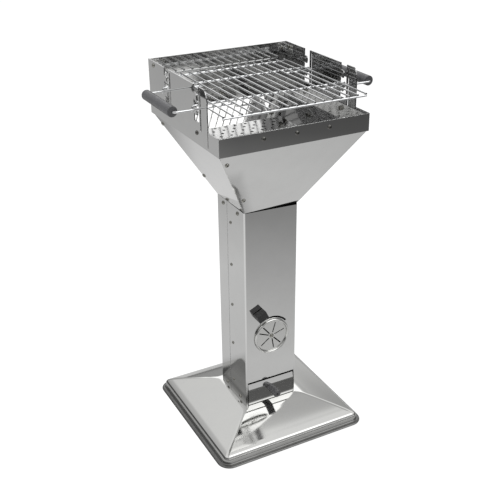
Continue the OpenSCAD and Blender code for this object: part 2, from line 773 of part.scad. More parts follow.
module corner_clips() {
    color(steel) difference() {
        for (sx = [-1, 1]) translate([0, 0, clip_top - clip_high]) linear_extrude(clip_high) scale([sx, 1]) {
            translate([shoulder_half - clip_rear_leg, shoulder_half - sheet]) square([clip_rear_leg, sheet]);
            translate([shoulder_half - sheet, shoulder_half - clip_side_leg]) square([sheet, clip_side_leg]);
        }
        at_corner_rivets_rear() bolt_hole(lapped_walls + overrun);
        at_corner_rivets_side() bolt_hole(lapped_walls + overrun);
    }
}

module corner_rivets() {
    color(steel) {
        at_corner_rivets_rear() corner_rivet(lapped_walls);
        at_corner_rivets_side() corner_rivet(lapped_walls);
    }
}

// Cooking gear

module rod_between(along_x, length) {
    rotate(along_x ? [0, 90, 0] : [-90, 0, 0]) cylinder(d = rod, h = length, $fn = 24);
}

// A quarter bend from the X direction to the Y direction, starting at the origin
module quarter_bend(bend) {
    translate([0, bend, 0]) rotate([0, 0, -90])
        rotate_extrude(angle = 90, $fn = 48) translate([bend, 0]) circle(d = rod, $fn = 24);
}

module support_bar(y) {
    color(bright) translate([0, y, bar_z]) {
        straight = bar_end - bar_bend;
        translate([-straight, 0, 0]) rod_between(true, 2 * straight);
        for (sx = [-1, 1]) scale([sx, 1, 1]) translate([straight, 0, 0]) rotate([-90, 0, 0]) {
            quarter_bend(bar_bend);
            translate([bar_bend, bar_bend, 0]) rod_between(false, bar_drop - bar_bend);
        }
    }
}

module support_bar_rear() { support_bar(bar_y); }
module support_bar_front() { support_bar(bar_y - slot_spacing); }

module cooking_grid() {
    cross = grid_half + wire / 2;
    color(bright) translate([grid_shift, 0, 0]) {
        for (i = [0:wires - 1]) translate([i * wire_pitch - grid_half, grid_front, wire_z])
            rotate([-90, 0, 0]) cylinder(d = wire, h = grid_rear - grid_front, $fn = 24);
        for (y = [grid_front + cross_inset, grid_rear - cross_inset])
            translate([-cross, y, cross_z]) rod_between(true, 2 * cross);
    }
}

module handle_rod() {
    bend_x = grip_x - handle_bend;
    color(bright) translate([0, 0, cross_z]) {
        for (y = [slit_y, slit_front_y]) translate([arm_inner, y, 0]) rod_between(true, bend_x - arm_inner);
        translate([bend_x, slit_front_y, 0]) quarter_bend(handle_bend);
        translate([bend_x, slit_y, 0]) mirror([0, 1, 0]) quarter_bend(handle_bend);
        translate([grip_x, slit_front_y + handle_bend, 0])
            rod_between(false, slot_spacing - 2 * handle_bend);
    }
}

module handle_rod_right() { handle_rod(); }
module handle_rod_left() { mirror([1, 0, 0]) handle_rod(); }

module grip_at(x) {
    start = slit_front_y + handle_bend + grip_gap;
    long = slot_spacing - 2 * (handle_bend + grip_gap);
    color(black) translate([x, start, cross_z]) rotate([-90, 0, 0]) rotate_extrude($fn = 48)
        polygon([[rod / 2 + turn_gap, 0], [grip / 2 * 0.92, 0], [grip / 2, grip * 0.04],
            [grip / 2, long - grip * 0.04], [grip / 2 * 0.92, long], [rod / 2 + turn_gap, long]]);
}

module grip_right() { grip_at(grip_x); }
module grip_left() { grip_at(-grip_x); }

// Vent

module vent_disc() {
    rim_path = vent_r - vent_rim;
    color(steel) at_vent() difference() {
        union() {
            rotate_extrude($fn = 96) {
                translate([0, vent_gap]) square([rim_path, vent_sheet]);
                translate([rim_path, vent_gap + vent_rim]) circle(r = vent_rim, $fn = 24);
            }
            rotate(arm_turn) {
                translate([rim_path, -arm_width / 2, vent_gap])
                    cube([block_in + block_long / 2 - rim_path, arm_width, vent_sheet]);
                translate([stop_r, 0, -sheet - overrun])
                    cylinder(r = pin_r, h = sheet + overrun + vent_gap + vent_sheet, $fn = 32);
            }
        }
        for (turn = vent_slot_shares) rotate(turn)
            ray_slot(vent_slot_in, vent_slot_out, vent_slot, vent_gap + vent_sheet + overrun);
        translate([0, 0, -overrun])
            cylinder(r = rivet_r + turn_gap, h = vent_gap + vent_sheet + 2 * overrun, $fn = 32);
    }
}

module vent_grip() {
    color(black) at_vent() rotate(arm_turn)
        translate([block_in, -block_wide / 2, vent_gap + vent_sheet])
            cube([block_long, block_wide, block_deep]);
}

module vent_rivet() {
    face = vent_gap + vent_sheet + turn_gap;
    color(steel) at_vent() rotate_extrude($fn = 48)
        polygon([[0, -sheet - rivet_rise], [rivet_head * 0.6, -sheet - rivet_rise],
            [rivet_head, -sheet - rivet_rise * 0.4],
            [rivet_head, -sheet], [rivet_r, -sheet], [rivet_r, face], [rivet_head, face],
            [rivet_head * 0.9, face + rivet_rise * 0.45], [rivet_head * 0.55, face + rivet_rise * 0.88],
            [0, face + rivet_rise]]);
}

// Ash drawer

module ash_drawer() {
    strip_foot = drawer_high - drawer_strip;
    color(steel) difference() {
        union() {
            translate([-drawer_half, 0, 0]) rotate([90, 0, 90]) linear_extrude(2 * drawer_half)
                polygon([[drawer_face, drawer_low], [drawer_face + sheet, drawer_low],
                    [drawer_face + sheet, strip_foot], [drawer_face + sheet + drawer_lean, drawer_high],
                    [drawer_face + drawer_lean, drawer_high], [drawer_face, strip_foot]]);
            difference() {
                translate([-tray_half, drawer_face, tray_low])
                    cube([2 * tray_half, tray_rear - drawer_face, tray_high]);
                translate([sheet - tray_half, drawer_face + sheet, tray_low + sheet])
                    cube([2 * (tray_half - sheet), tray_rear - drawer_face - 2 * sheet, tray_high]);
            }
        }
        at_knob() translate([0, 0, -sheet - overrun])
            cylinder(r = knob_screw_r + bolt_gap, h = 2 * sheet + 2 * overrun, $fn = 32);
    }
}

// Stands a child on the drawer's front at the knob, its own Z pointing out
module at_knob() {
    translate([0, drawer_face, knob_z]) rotate([90, 0, 0]) children();
}

module drawer_knob() {
    color(graphite) at_knob() difference() {
        rotate_extrude($fn = 48) polygon([[0, 0], [knob_r, 0], [knob_r, knob_long * 0.97],
            [knob_r * 0.86, knob_long], [0, knob_long]]);
        translate([0, 0, knob_long - knob_hole_deep])
            cylinder(r = knob_hole, h = knob_hole_deep + overrun, $fn = 32);
        translate([0, 0, -overrun])
            cylinder(r = knob_screw_r + turn_gap, h = knob_screw_deep + 2 * overrun, $fn = 32);
    }
}

module knob_screw() {
    color(steel) at_knob() rotate_extrude($fn = 32)
        polygon([[0, -sheet - bolt_rise], [bolt_head * 0.6, -sheet - bolt_rise], [bolt_head, -sheet],
            [knob_screw_r, -sheet], [knob_screw_r, knob_screw_deep], [0, knob_screw_deep]]);
}

module drawer_runner() {
    color(steel) {
        translate([shelf_outer - shelf, spigot_flange - spigot_inner, shelf_z - sheet])
            cube([shelf, 2 * (spigot_inner - spigot_flange), sheet]);
        translate([shelf_outer - sheet, spigot_flange - spigot_inner, shelf_z - sheet])
            cube([sheet, 2 * (spigot_inner - spigot_flange), shelf_leg]);
    }
}

module drawer_runner_right() { drawer_runner(); }
module drawer_runner_left() { mirror([1, 0, 0]) drawer_runner(); }

base_pan();
column_foot();
hold_bolts();
hold_nuts();
foot_bolts();
foot_nuts();
column_front_channel();
column_rear_channel();
seam_screws();
neck_collar();
collar_bolts();
collar_nuts();
funnel_front();
funnel_right();
funnel_rear();
funnel_left();
funnel_bolts();
funnel_nuts();
front_band();
side_panel_left();
side_panel_right();
rear_panel();
corner_clips();
corner_rivets();
band_bolts();
band_nuts();
fire_grate();
cooking_grid();
handle_rod_left();
handle_rod_right();
grip_left();
grip_right();
support_bar_front();
support_bar_rear();
vent_disc();
vent_grip();
vent_rivet();
ash_drawer();
drawer_knob();
knob_screw();
drawer_runner_left();
drawer_runner_right();
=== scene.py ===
# %% [markdown]
# A pedestal charcoal barbecue, dressed for its portrait
#
# The real thing is folded from bright rolled stainless sheet: a pan base, a square column with an
# air vent and an ash drawer, a funnel of four lapped panels and a toothed box with a chromed grid.
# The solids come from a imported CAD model. This script gives them their finishes, adds the small
# welds that a drawing leaves out, and sets up a floor, a soft studio and a camera.

import math

import bpy
import numpy as np
from mathutils import Matrix, Vector


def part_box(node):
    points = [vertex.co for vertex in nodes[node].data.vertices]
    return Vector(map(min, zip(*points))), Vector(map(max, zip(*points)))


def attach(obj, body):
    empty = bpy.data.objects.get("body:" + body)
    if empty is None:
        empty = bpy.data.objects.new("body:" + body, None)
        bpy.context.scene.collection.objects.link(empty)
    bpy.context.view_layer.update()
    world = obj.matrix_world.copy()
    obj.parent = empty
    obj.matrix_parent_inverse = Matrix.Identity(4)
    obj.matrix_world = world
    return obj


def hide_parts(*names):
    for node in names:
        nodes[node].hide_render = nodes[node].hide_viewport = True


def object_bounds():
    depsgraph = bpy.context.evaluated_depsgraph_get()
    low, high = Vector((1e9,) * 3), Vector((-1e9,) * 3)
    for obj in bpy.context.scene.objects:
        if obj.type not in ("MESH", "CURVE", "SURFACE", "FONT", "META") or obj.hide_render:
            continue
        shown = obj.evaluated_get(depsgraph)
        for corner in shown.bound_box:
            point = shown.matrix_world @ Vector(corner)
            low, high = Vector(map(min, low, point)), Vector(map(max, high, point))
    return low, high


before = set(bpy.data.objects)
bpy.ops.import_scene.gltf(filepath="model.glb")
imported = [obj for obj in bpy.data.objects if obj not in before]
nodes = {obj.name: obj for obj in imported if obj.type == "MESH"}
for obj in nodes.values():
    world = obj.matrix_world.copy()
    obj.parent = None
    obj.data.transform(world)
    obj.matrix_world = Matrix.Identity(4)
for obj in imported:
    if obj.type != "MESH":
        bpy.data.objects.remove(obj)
cad_low, cad_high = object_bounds()
mm = 0.001
print("CAD box in metres:", [round(v, 4) for v in (*cad_low, *cad_high)])

# %% [markdown]
# Helpers that carry all the materials
#
# Blender works with linear light, but a colour is easier to think of as the hex value that a
# screen shows. One function turns the second into the first. The next one adds a shader node,
# sets its values and plugs its inputs, so that a material reads as a short list. A node that is
# plugged into another one stands for its first output, which is nearly always the one that counts.


# %% Colour and node helpers
def colour(hex_value):
    """Linear RGBA from an sRGB hex value: each channel goes through the sRGB curve."""
    parts = [int(hex_value[i:i + 2], 16) / 255 for i in (1, 3, 5)]
    return [*((c / 12.92 if c <= 0.04045 else ((c + 0.055) / 1.055) ** 2.4) for c in parts), 1.0]


def add(tree, kind, inputs=None, **settings):
    """Adds one node. Inputs that are sockets or nodes are linked, and all others are set as values."""
    made = tree.nodes.new(kind)
    for name, value in settings.items():
        setattr(made, name, value)
    for name, value in (inputs or {}).items():
        if isinstance(value, bpy.types.Node):
            value = value.outputs[0]
        if isinstance(value, bpy.types.NodeSocket):
            tree.links.new(value, made.inputs[name])
        else:
            made.inputs[name].default_value = value
    return made


def new_material(name):
    """An empty node material, its tree and its output node."""
    material = bpy.data.materials.new(name)
    material.use_nodes = True
    tree = material.node_tree
    tree.nodes.clear()
    return material, tree, tree.nodes.new("ShaderNodeOutputMaterial")


print("mid grey in linear light:", round(colour("#808080")[0], 3))

# %% [markdown]
# Why rolled sheet doesn't look like glass
#
# The sheet is bright-annealed stainless: rolled between polished rollers, so it is nearly a
# mirror. What tells it from glass is threefold. The rolling leaves faint streaks about a
# millimetre apart in one direction. The thin sheet is never quite flat, so reflections bend over
# a hand's width. And hands and cloths leave soft patches where the mirror is a little duller.
# A picture of a sheet could be wrapped round each piece, but it would stretch and repeat. Noise
# measured in millimetres fits every piece: stretched along the rolling direction it gives the
# streaks, and slow noise gives the other two.

# %% Skin of a rolled sheet
streak_pitch, streak_length, streak_depth, streak_strength = 1.2 * mm, 260 * mm, 0.01 * mm, 0.06
warp_size, patch_size = 160 * mm, 45 * mm


def rolled_noise(tree, place, roll_axis):
    """Three noises from 0 to 1: streaks along the rolling, the slow warp and the dull patches."""
    stretch = [1 / streak_pitch] * 3
    stretch[roll_axis] = 1 / streak_length
    along = add(tree, "ShaderNodeMapping", {"Vector": place, "Scale": stretch})
    streaks = add(tree, "ShaderNodeTexNoise", {"Vector": along, "Scale": 1.0, "Detail": 3.0})
    warp = add(tree, "ShaderNodeTexNoise", {"Vector": place, "Scale": 1 / warp_size, "Detail": 1.0})
    patches = add(tree, "ShaderNodeTexNoise",
                  {"Vector": place, "Scale": 1 / patch_size, "Detail": 5.0, "Roughness": 0.6})
    return streaks, warp, patches


def uneven_slope(tree, streaks, warp, warp_height, bend):
    """The skin's slope: edges rounded over the bend radius, then the slow warp, then the streaks."""
    rounded = add(tree, "ShaderNodeBevel", {"Radius": bend}, samples=4)
    warped = add(tree, "ShaderNodeBump",
                 {"Strength": 1.0, "Distance": warp_height, "Height": warp, "Normal": rounded})
    return add(tree, "ShaderNodeBump",
               {"Strength": streak_strength, "Distance": streak_depth, "Height": streaks, "Normal": warped})


print("streaks for each centimetre:", round(10 * mm / streak_pitch, 1))

# %% [markdown]
# Where shade is painted on
#
# The sheet is bright outside. Painted shade, not soot or smoke, darkens it where shade falls: grey
# on the inner faces of the box's side walls and the funnel's sides, and black on the funnel's front
# and rear under the fire grate, in the tray and on the inner lips of the column. A thin black line is
# painted shadow in the gap under the funnel and along the drawer's upper edge, and the rear wall is
# paler on its inner face. These marks could be painted by hand on each piece. Here each one is a
# region of space instead, worked out from the sizes of the model, so one rule serves every piece.
# region of space instead, worked out from the sizes of the model, so one rule serves every piece.


# %% Regions that get painted shade
def square_reach(tree, place):
    """How far out a place lies on square rings: the greater of |x| and |y|."""
    axes = add(tree, "ShaderNodeSeparateXYZ", {"Vector": place}).outputs
    out_x = add(tree, "ShaderNodeMath", {0: axes["X"]}, operation="ABSOLUTE")
    out_y = add(tree, "ShaderNodeMath", {0: axes["Y"]}, operation="ABSOLUTE")
    return add(tree, "ShaderNodeMath", {0: out_x, 1: out_y}, operation="MAXIMUM")


def in_tube(tree, place, half, growth, top):
    """1 in a square tube that may widen upwards, else 0: reach < half + growth * z, and z < top."""
    height = add(tree, "ShaderNodeSeparateXYZ", {"Vector": place}).outputs["Z"]
    half_there = add(tree, "ShaderNodeMath", {0: height, 1: growth, 2: half}, operation="MULTIPLY_ADD")
    reach = square_reach(tree, place)
    within = add(tree, "ShaderNodeMath", {0: reach, 1: half_there}, operation="LESS_THAN")
    under = add(tree, "ShaderNodeMath", {0: height, 1: top}, operation="LESS_THAN")
    return add(tree, "ShaderNodeMath", {0: within, 1: under}, operation="MULTIPLY")


def under_end(tree, place, end, depth, growth, front):
    """1 close under the upper end of a front face, else 0: end - z < depth + growth * x, and y < front."""
    axes = add(tree, "ShaderNodeSeparateXYZ", {"Vector": place}).outputs
    depth_there = add(tree, "ShaderNodeMath", {0: axes["X"], 1: growth, 2: depth},
                      operation="MULTIPLY_ADD")
    below = add(tree, "ShaderNodeMath", {0: end, 1: axes["Z"]}, operation="SUBTRACT")
    close = add(tree, "ShaderNodeMath", {0: below, 1: depth_there}, operation="LESS_THAN")
    in_front = add(tree, "ShaderNodeMath", {0: axes["Y"], 1: front}, operation="LESS_THAN")
    return add(tree, "ShaderNodeMath", {0: close, 1: in_front}, operation="MULTIPLY")


# Colour of each painted shade or tint, and the roughness that it adds to the mirror
painted_inner_shade, painted_grate_shade, painted_gap_shadow = ("#3A3938", 0.5), ("#1E1E1D", 0.4), ("#060606", 0.6)
painted_box_shade, pale_inner_tint = ("#8E8E8E", 0.02), ("#D2D2D1", 0.04)
print("painted tints, from black to pale:", [shade_tint[0] for shade_tint in (painted_gap_shadow, painted_grate_shade, painted_inner_shade, painted_box_shade, pale_inner_tint)])

# %% [markdown]
# One material function for all the sheet
#
# All the folded pieces are the same kind of metal, so one function makes their materials and each
# call says only what differs: the direction of rolling, how dull the mirror is, how far the sheet
# warps and where shade is painted on it. A separate material for every piece would be the same list
# ten times.

# %% Rolled sheet
clean_mirror, patch_rough, streak_rough = 0.035, 0.04, 0.02
patch_from, patch_to = 0.42, 0.72


def rolled_sheet(name, tint, roll_axis, mirror=clean_mirror, warp_height=0.04 * mm, worn="#C8C8C7",
                 bend=0.9 * mm, painted_shades=()):
    """Metal whose roughness is mirror + patch_rough * dull patches + streak_rough * streaks.

    The patches also turn the tint to the worn one. Each painted shade is a region, the sizes of the
    region, and its colour with the roughness that it adds.
    """
    material, tree, out = new_material(name)
    place = add(tree, "ShaderNodeTexCoord").outputs["Object"]
    streaks, warp, patches = rolled_noise(tree, place, roll_axis)
    dull = add(tree, "ShaderNodeMapRange", {"Value": patches, "From Min": patch_from, "From Max": patch_to,
                                            "To Min": mirror, "To Max": mirror + patch_rough})
    rough = add(tree, "ShaderNodeMath", {0: streaks, 1: streak_rough, 2: dull}, operation="MULTIPLY_ADD")
    shade = add(tree, "ShaderNodeMixRGB", {"Fac": patches, "Color1": colour(tint), "Color2": colour(worn)})
    for region, sizes, (shade_tint, added) in painted_shades:
        where = region(tree, place, *sizes)
        shade = add(tree, "ShaderNodeMixRGB", {"Fac": where, "Color1": shade, "Color2": colour(shade_tint)})
        rough = add(tree, "ShaderNodeMath", {0: where, 1: added, 2: rough}, operation="MULTIPLY_ADD")
    slope = uneven_slope(tree, streaks, warp, warp_height, bend)
    metal = add(tree, "ShaderNodeBsdfPrincipled",
                {"Base Color": shade, "Metallic": 1.0, "Roughness": rough, "Normal": slope})
    tree.links.new(metal.outputs["BSDF"], out.inputs["Surface"])
    return material


dullest = clean_mirror + patch_rough + streak_rough
print("roughness of clean sheet:", clean_mirror, "to", round(dullest, 3))

# %% [markdown]
# Sizes that the painted shade follows
#
# The regions are measured on the imported model: the column's half width and top, the funnel between
# column and box, the fire grate's level and the drawer. The column's outer faces and the box's
# stay bright because each tube ends a little inside them. They could be typed in again from the
# drawing, but then the painted shade would stay behind when the drawing changes.

# %% Measures for the painted shade
column_low, column_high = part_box("column_front_channel")
column_half, column_top = column_high[0], column_high[2]
band_low, band_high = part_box("front_band")
box_half, box_foot, shoulder_half = band_high[0], band_low[2], -band_high[1]
grate_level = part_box("fire_grate")[0][2]
drawer_low, drawer_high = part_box("ash_drawer")
above_all = cad_high[2] + 50 * mm

# How far inside the outer faces each tube ends
lip_in, tray_in, funnel_in, box_in = 2.1 * mm, 2.5 * mm, 1.2 * mm, 0.5 * mm
lips_inside = (column_half - lip_in, 0.0, column_top)
tray_inside = (column_half - tray_in, 0.0, column_top)
funnel_growth = (shoulder_half - column_half) / (box_foot - column_top)
funnel_start = column_half - funnel_in - column_top * funnel_growth
fire_inside = (funnel_start, funnel_growth, grate_level)
funnel_inside = (funnel_start, funnel_growth, box_foot)
box_inside = (box_half - box_in, 0.0, above_all)

# Painted shadow line in the gaps: its depth at the middle, its growth to the right, and how far behind the
# foremost point it starts
neck_shadow_depth, neck_shadow_growth, neck_back = 3.4 * mm, 0.034, 0.5 * mm
drawer_shadow_depth, drawer_back = 2.6 * mm, 6 * mm
neck_front = (column_top, neck_shadow_depth, neck_shadow_growth, column_low[1] + neck_back)
drawer_front = (drawer_high[2], drawer_shadow_depth, 0.0, drawer_low[1] + drawer_back)
print("funnel widens by", round(funnel_growth, 3), "m for each metre of height")

# %% [markdown]
# The bright sheet
#
# The rolling direction follows how each blank was cut: upwards on the column, across on the front
# and rear walls, front to back on the side walls. Light glides along the streaks, so a wall and
# its neighbour look different even where they mirror the same room. Turning one picture by hand on
# each piece would do the same, but an axis in the call is shorter.

# %% Bright sheet of column, drawer, funnel and box
ACROSS, BACK, UP = 0, 1, 2
bright = "#CFCFCE"
# A near mirror with streaks from side to side
sheet_across = rolled_sheet("bright rolled stainless, rolled across", bright, ACROSS)
# The same mirror, with painted shade greying its inner face
side_wall = rolled_sheet("bright rolled stainless of the side walls, smoky inside", bright, BACK,
                         painted_shades=[(in_tube, box_inside, painted_box_shade)])
# Upright streaks that make the column look taller, painted shade on its inner lips, and a painted
# shadow line at its top
sheet_up = rolled_sheet("bright rolled stainless tube, sooty on its inner lips", bright, UP,
                        painted_shades=[(in_tube, lips_inside, painted_inner_shade), (under_end, neck_front, painted_gap_shadow)])
# A bright front with a painted shadow line along its upper edge, on a tray painted black with shade
drawer_sheet = rolled_sheet("bright rolled stainless tray, sooty inside", bright, ACROSS,
                            painted_shades=[(in_tube, tray_inside, painted_inner_shade), (under_end, drawer_front, painted_gap_shadow)])
# Painted shade: matt black under the grate, which makes the holes of the grate dark
funnel_across = rolled_sheet("bright rolled stainless, painted shade under the grate", bright, ACROSS,
                             painted_shades=[(in_tube, fire_inside, painted_grate_shade)])
# Painted shade: grey inside and still shiny, so that the walls over the grate mirror the grid
funnel_back = rolled_sheet("bright rolled stainless, painted shade inside the funnel", bright, BACK,
                           painted_shades=[(in_tube, funnel_inside, painted_box_shade)])
# A softer and greyer mirror, in which the wires of the grid show as blurred lines, paler and a
# little rougher on its inner face
wall_across = rolled_sheet("cold rolled stainless of the rear wall, paler inside", "#B4B4B2", ACROSS,
                           worn="#AAAAA8", bend=0.1 * mm, painted_shades=[(in_tube, box_inside, pale_inner_tint)])
print("bright sheets:", len([m for m in bpy.data.materials if "rolled" in m.name]))

# %% [markdown]
# Sheet that was worked harder, and sheet painted with shade
#
# Pressing, punching and deep drawing stretch the skin and break up its mirror, and the foot's edge
# is rougher yet. It is still the same metal, so the same function makes it, with a rougher mirror
# and a tint of its own. The darker tints of the base's low wall and rolled edge, and the black of the
# inner pieces, are painted shade. A bump of dents would be the other way, but they are too fine to
# see from where the camera stands.

# %% Drawn, punched and pressed sheet, and sheet painted with shade
# Reflections that swim, because the drawn slopes are the least flat of all
pan_sheet = rolled_sheet("bright rolled stainless, deep drawn", "#CDCDCA", ACROSS, mirror=0.05,
                         warp_height=0.12 * mm)
# Pale and a little blurred, with crisp edges round the holes
punched = rolled_sheet("bright stainless, punched", "#E6E6E6", ACROSS, mirror=0.1, worn="#DEDEDE",
                       bend=0.1 * mm)
# A satin disc in front of the mirror of the column
pressed_sheet = rolled_sheet("bright stainless, pressed to a rim", "#C6C6C3", ACROSS, mirror=0.13)
# Soft grey bands round the foot, without a mirror image, tinted darker as painted shade at the foot
shaded_wall_sheet = rolled_sheet("deep drawn stainless of the base's low wall, dulled", "#B6B6B4", ACROSS,
                          mirror=0.22, worn="#AAAAA8")
# The rolled edge: rougher yet, and tinted dark grey as painted shade at the foot
shaded_edge_sheet = rolled_sheet("stainless of the rolled edge, dulled on the ground", "#707070", ACROSS,
                          mirror=0.3, worn="#60605E")
# Painted shade: black and matt, so that what lies inside stays in the dark
shade_black_sheet = rolled_sheet("stainless sheet of inner pieces, painted black with shade", "#343332", UP, mirror=0.5,
                           worn="#2C2B2A")
print("sheet materials:", len([m for m in bpy.data.materials if "stainless" in m.name]))

# %% [markdown]
# Chromed wire and turned bolts
#
# The grid, the bars and the rods are steel wire with a chrome skin, a cleaner mirror than the
# sheet with small ripples from drawing. The bolts are turned stainless, too small to mirror
# anything but light and dark. Both could do with one plain roughness, but then a row of wires
# would flash all at once, so a fine ripple varies it.

# %% Wire and bolts
ripple_least, ripple_most = 0.7, 1.4


def plain_metal(name, tint, roughness, ripple_pitch, ripple_height):
    """Metal with a fine ripple: roughness times ripple_least in its troughs and ripple_most on top."""
    material, tree, out = new_material(name)
    place = add(tree, "ShaderNodeTexCoord").outputs["Object"]
    ripple = add(tree, "ShaderNodeTexNoise", {"Vector": place, "Scale": 1 / ripple_pitch, "Detail": 2.0})
    rough = add(tree, "ShaderNodeMapRange", {"Value": ripple, "To Min": roughness * ripple_least,
                                             "To Max": roughness * ripple_most})
    bump = add(tree, "ShaderNodeBump", {"Strength": 1.0, "Distance": ripple_height, "Height": ripple})
    metal = add(tree, "ShaderNodeBsdfPrincipled",
                {"Base Color": colour(tint), "Metallic": 1.0, "Roughness": rough, "Normal": bump})
    tree.links.new(metal.outputs["BSDF"], out.inputs["Surface"])
    return material


# The cleanest mirror of the object: thin lines of white and black
chromed_wire = plain_metal("chromed drawn wire", "#D4D5D6", 0.06, 6 * mm, 0.02 * mm)
# Painted shade: the same turned stainless, tinted darker so that the heads stay dark on the front
# band, which is dark from what it mirrors
shaded_band_steel = plain_metal("turned stainless of the band's bolts", "#6A6966", 0.2, 2 * mm, 0.01 * mm)
# Grey buttons with a soft glint
turned_stainless = plain_metal("turned stainless of bolts", "#96958F", 0.3, 2 * mm, 0.01 * mm)
print("plain metals:", [m.name for m in (chromed_wire, shaded_band_steel, turned_stainless)])

# %% [markdown]
# Black mouldings and a painted knob
#
# The tubes on the handle rods and the vent's grip are black mouldings with an even spark-eroded
# grain, and the knob is turned metal in graphite paint. Black is never quite black: it is the
# grain and the polish of many hands that show its form. The grain is a fine bump, and a slow noise
# makes some places paler and smoother. Real grain would need millions of faces for the same look.


# %% Mouldings and paint
def moulding(name, tint, worn_tint, roughness, grain, grain_height):
    """Plastic or paint with an even grain. Where hands polish it, it is paler and smoother."""
    polish_size, roughest, smoothest = 30 * mm, roughness + 0.1, roughness - 0.08
    material, tree, out = new_material(name)
    place = add(tree, "ShaderNodeTexCoord").outputs["Object"]
    grains = add(tree, "ShaderNodeTexNoise", {"Vector": place, "Scale": 1 / grain, "Detail": 3.0})
    polish = add(tree, "ShaderNodeTexNoise", {"Vector": place, "Scale": 1 / polish_size, "Detail": 4.0})
    tone = add(tree, "ShaderNodeMixRGB",
               {"Fac": polish, "Color1": colour(tint), "Color2": colour(worn_tint)})
    rough = add(tree, "ShaderNodeMapRange", {"Value": polish, "To Min": roughest, "To Max": smoothest})
    bump = add(tree, "ShaderNodeBump", {"Strength": 0.5, "Distance": grain_height, "Height": grains})
    skin = add(tree, "ShaderNodeBsdfPrincipled", {"Base Color": tone, "Roughness": rough, "Normal": bump})
    tree.links.new(skin.outputs["BSDF"], out.inputs["Surface"])
    return material


# A matt tube that light makes dark grey
grip_black = moulding("black moulding, spark-eroded grain", "#4A4A4C", "#5C5C5E", 0.45, 0.9 * mm,
                      0.05 * mm)
# The blackest piece, small and sheltered from hands
vent_black = moulding("black moulding of the vent grip", "#19191A", "#242425", 0.42, 0.9 * mm,
                      0.04 * mm)
# Slightly glossier than the mouldings
knob_graphite = moulding("graphite paint on turned metal", "#4A4A4C", "#5A5A5C", 0.34, 1.5 * mm,
                         0.02 * mm)
print("dark finishes:", [m.name for m in (grip_black, vent_black, knob_graphite)])

# %% [markdown]
# Each CAD node gets the finish of the part it is
#
# A table from node to finish is all it takes, since every node is one part or one kind of
# fastener. Most fasteners are left out of the table and get the same turned stainless. Materials
# set by hand in the viewport would be lost the next time that this script imports model.glb.

# %% Finishes by node
finishes = {
    "base_pan": pan_sheet, "column_foot": shade_black_sheet, "neck_collar": shade_black_sheet,
    "column_front_channel": sheet_up, "column_rear_channel": sheet_up,
    "funnel_front": funnel_across, "funnel_rear": funnel_across,
    "funnel_left": funnel_back, "funnel_right": funnel_back,
    "front_band": sheet_across, "rear_panel": wall_across,
    "side_panel_left": side_wall, "side_panel_right": side_wall,
    "corner_clips": sheet_across, "fire_grate": punched, "ash_drawer": drawer_sheet,
    "drawer_runner_left": shade_black_sheet, "drawer_runner_right": shade_black_sheet,
    "cooking_grid": chromed_wire, "handle_rod_left": chromed_wire, "handle_rod_right": chromed_wire,
    "support_bar_front": chromed_wire, "support_bar_rear": chromed_wire,
    "grip_left": grip_black, "grip_right": grip_black, "vent_grip": vent_black,
    "drawer_knob": knob_graphite, "vent_disc": pressed_sheet,
    "band_bolts": shaded_band_steel,
}
for name, solid in nodes.items():
    solid.data.materials.clear()
    solid.data.materials.append(finishes.get(name, turned_stainless))
print("nodes of turned stainless:", sorted(n for n in nodes if n not in finishes))

# %% [markdown]
# The base again, as one smooth surface
#
# The pan base is drawn in a press, so its slopes are softly curved and mirror the column without
# a break. The solid model has it in a few flat bands, and a mirror shows every one of them. A
# subdivision modifier would round it, but also shrink it. So the same profile is run through by a
# smooth curve and carried round a rounded square, with enough steps for an even reflection. The
# surface takes the solid's place and keeps its measures.

# %% Profile of the base
pan_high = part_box("base_pan")[1]
edge_half, base_high = pan_high[0], pan_high[2]
plateau_half, edge_round, base_sheet, flat_margin = 77 * mm, 34.2 * mm, 2 * mm, 1.5 * mm
# Rows: way out from flat top to edge, height, corner radius, inner skin inward and down, as shares
slope_shares = np.array([
    [0, 1, 0.205, 0.2, 1], [0.044, 0.987, 0.21, 0.3, 1], [0.244, 0.865, 0.215, 0.3, 0.95],
    [0.467, 0.708, 0.22, 0.35, 0.95], [0.674, 0.549, 0.225, 0.4, 0.95],
    [0.807, 0.435, 0.23, 0.55, 0.95], [0.85, 0.388, 0.24, 0.75, 0.8], [0.877, 0.35, 0.27, 0.85, 0.7],
    [0.895, 0.3, 0.33, 0.95, 0.5], [0.906, 0.235, 0.42, 1.0, 0.3], [0.911, 0.18, 0.5, 1.05, 0.1],
    [0.917, 0.13, 0.6, 1.1, 0.8], [0.936, 0.092, 0.72, 1.2, 1.05], [0.967, 0.086, 0.88, 1.8, 1.4]])
edge_shares = np.array([[0.991, 0.067, 0.971], [1, 0.035, 1], [0.994, 0.011, 0.982],
                        [0.982, 0, 0.936], [0.965, 0, 0.87]])
print("rows of the profile:", len(slope_shares), "on the slope and", len(edge_shares), "on the rolled edge")

# %% [markdown]
# A smooth curve through the profile
#
# The press leaves no kinks, so the curve has to pass through each row in one sweep. A Bezier curve
# with handles set by hand would do, at the cost of two more points for every row. Here the
# direction at each row is taken from the rows beside it, the nearer one counting more.


# %% Rings of the base
def ring_sizes(rows):
    """Half width, height and corner radius of each row, in metres."""
    half = plateau_half + rows[:, 0] * (edge_half - plateau_half)
    return np.stack([half, rows[:, 1] * base_high, rows[:, 2] * edge_round], -1)


